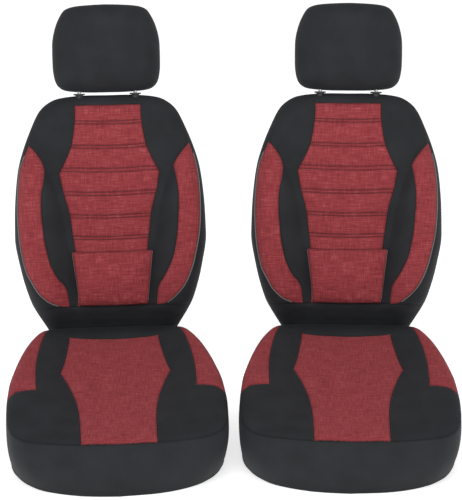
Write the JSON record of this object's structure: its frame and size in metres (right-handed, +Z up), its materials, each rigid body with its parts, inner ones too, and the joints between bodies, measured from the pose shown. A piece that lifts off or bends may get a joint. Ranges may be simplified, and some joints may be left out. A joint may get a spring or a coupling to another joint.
{
  "type": "seat cover set",
  "caption": "Two fitted fabric covers with red centre and side panels on reclining front seats, with lumbar pads, piping and covered headrests.",
  "frame": {"origin": "on the floor at the middle of the set", "axes": "+X across the set, to the right as seen from the front; -Y towards the front; +Z up. Each seat is turned 3 degrees in towards the middle at its front."},
  "size_m": [1.1312, 0.877, 1.0111],
  "materials": {
    "black_fabric": "smooth black tricot cloth with a slight blue-grey sheen",
    "red_fabric": "dark red melange weave with fine slub streaks",
    "grey_piping": "pale grey woven piping",
    "foam": "open-cell foam",
    "elastic": "ribbed black elastic webbing",
    "painted_steel": "black painted pressed steel",
    "plain_steel": "plain steel",
    "chrome_posts": "polished chrome",
    "black_plastic": "moulded black plastic"
  },
  "bodies": {
    "left_seat": {"left_seat_pan": "painted_steel", "left_seat_runners": "painted_steel", "left_recliner_brackets": "painted_steel", "left_elastic_straps": "elastic", "left_strap_buckles": "black_plastic", "left_strap_hooks": "plain_steel", "left_cushion_foam": "foam", "left_cushion_centre_panel": "red_fabric", "left_cushion_wing_panels": "red_fabric", "left_cushion_bolster_panels": "black_fabric", "left_cushion_rear_band": "black_fabric", "left_cushion_skirt": "black_fabric", "left_crease_flap": "black_fabric"},
    "left_backrest": {"left_recliner_shaft": "plain_steel", "left_backrest_frame": "painted_steel", "left_post_guides": "black_plastic", "left_backrest_foam": "foam", "left_backrest_centre_panel": "red_fabric", "left_backrest_wing_panels": "red_fabric", "left_backrest_side_panels": "black_fabric", "left_backrest_bolster_panels": "black_fabric", "left_backrest_rear_panel": "black_fabric", "left_backrest_lower_band": "black_fabric", "left_lumbar_pad": "red_fabric", "left_backrest_piping": "grey_piping", "left_rear_pocket": "black_fabric"},
    "left_headrest": {"left_headrest_posts": "chrome_posts", "left_headrest_foam": "foam", "left_headrest_cover": "black_fabric"},
    "right_seat": {"right_seat_pan": "painted_steel", "right_seat_runners": "painted_steel", "right_recliner_brackets": "painted_steel", "right_elastic_straps": "elastic", "right_strap_buckles": "black_plastic", "right_strap_hooks": "plain_steel", "right_cushion_foam": "foam", "right_cushion_centre_panel": "red_fabric", "right_cushion_wing_panels": "red_fabric", "right_cushion_bolster_panels": "black_fabric", "right_cushion_rear_band": "black_fabric", "right_cushion_skirt": "black_fabric", "right_crease_flap": "black_fabric"},
    "right_backrest": {"right_recliner_shaft": "plain_steel", "right_backrest_frame": "painted_steel", "right_post_guides": "black_plastic", "right_backrest_foam": "foam", "right_backrest_centre_panel": "red_fabric", "right_backrest_wing_panels": "red_fabric", "right_backrest_side_panels": "black_fabric", "right_backrest_bolster_panels": "black_fabric", "right_backrest_rear_panel": "black_fabric", "right_backrest_lower_band": "black_fabric", "right_lumbar_pad": "red_fabric", "right_backrest_piping": "grey_piping", "right_rear_pocket": "black_fabric"},
    "right_headrest": {"right_headrest_posts": "chrome_posts", "right_headrest_foam": "foam", "right_headrest_cover": "black_fabric"}
  },
  "joints": [
    {"name": "left_recline", "type": "hinge", "parent": "left_seat", "child": "left_backrest", "pos_m": [-0.30772, 0.18216, 0.1426], "axis": [-0.9986, -0.0523, 0], "range_deg": [0, 45]},
    {"name": "left_headrest_height", "type": "slide", "parent": "left_backrest", "child": "left_headrest", "axis": [-0.0135, 0.2585, 0.9659], "range_m": [0, 0.07]},
    {"name": "right_recline", "type": "hinge", "parent": "right_seat", "child": "right_backrest", "pos_m": [0.30772, 0.18216, 0.1426], "axis": [-0.9986, 0.0523, 0], "range_deg": [0, 45]},
    {"name": "right_headrest_height", "type": "slide", "parent": "right_backrest", "child": "right_headrest", "axis": [0.0135, 0.2585, 0.9659], "range_m": [0, 0.07]},
    {"name": "right_seat_spacing", "type": "slide", "parent": "left_seat", "child": "right_seat", "axis": [1, 0, 0], "range_m": [0, 0.25]}
  ]
}
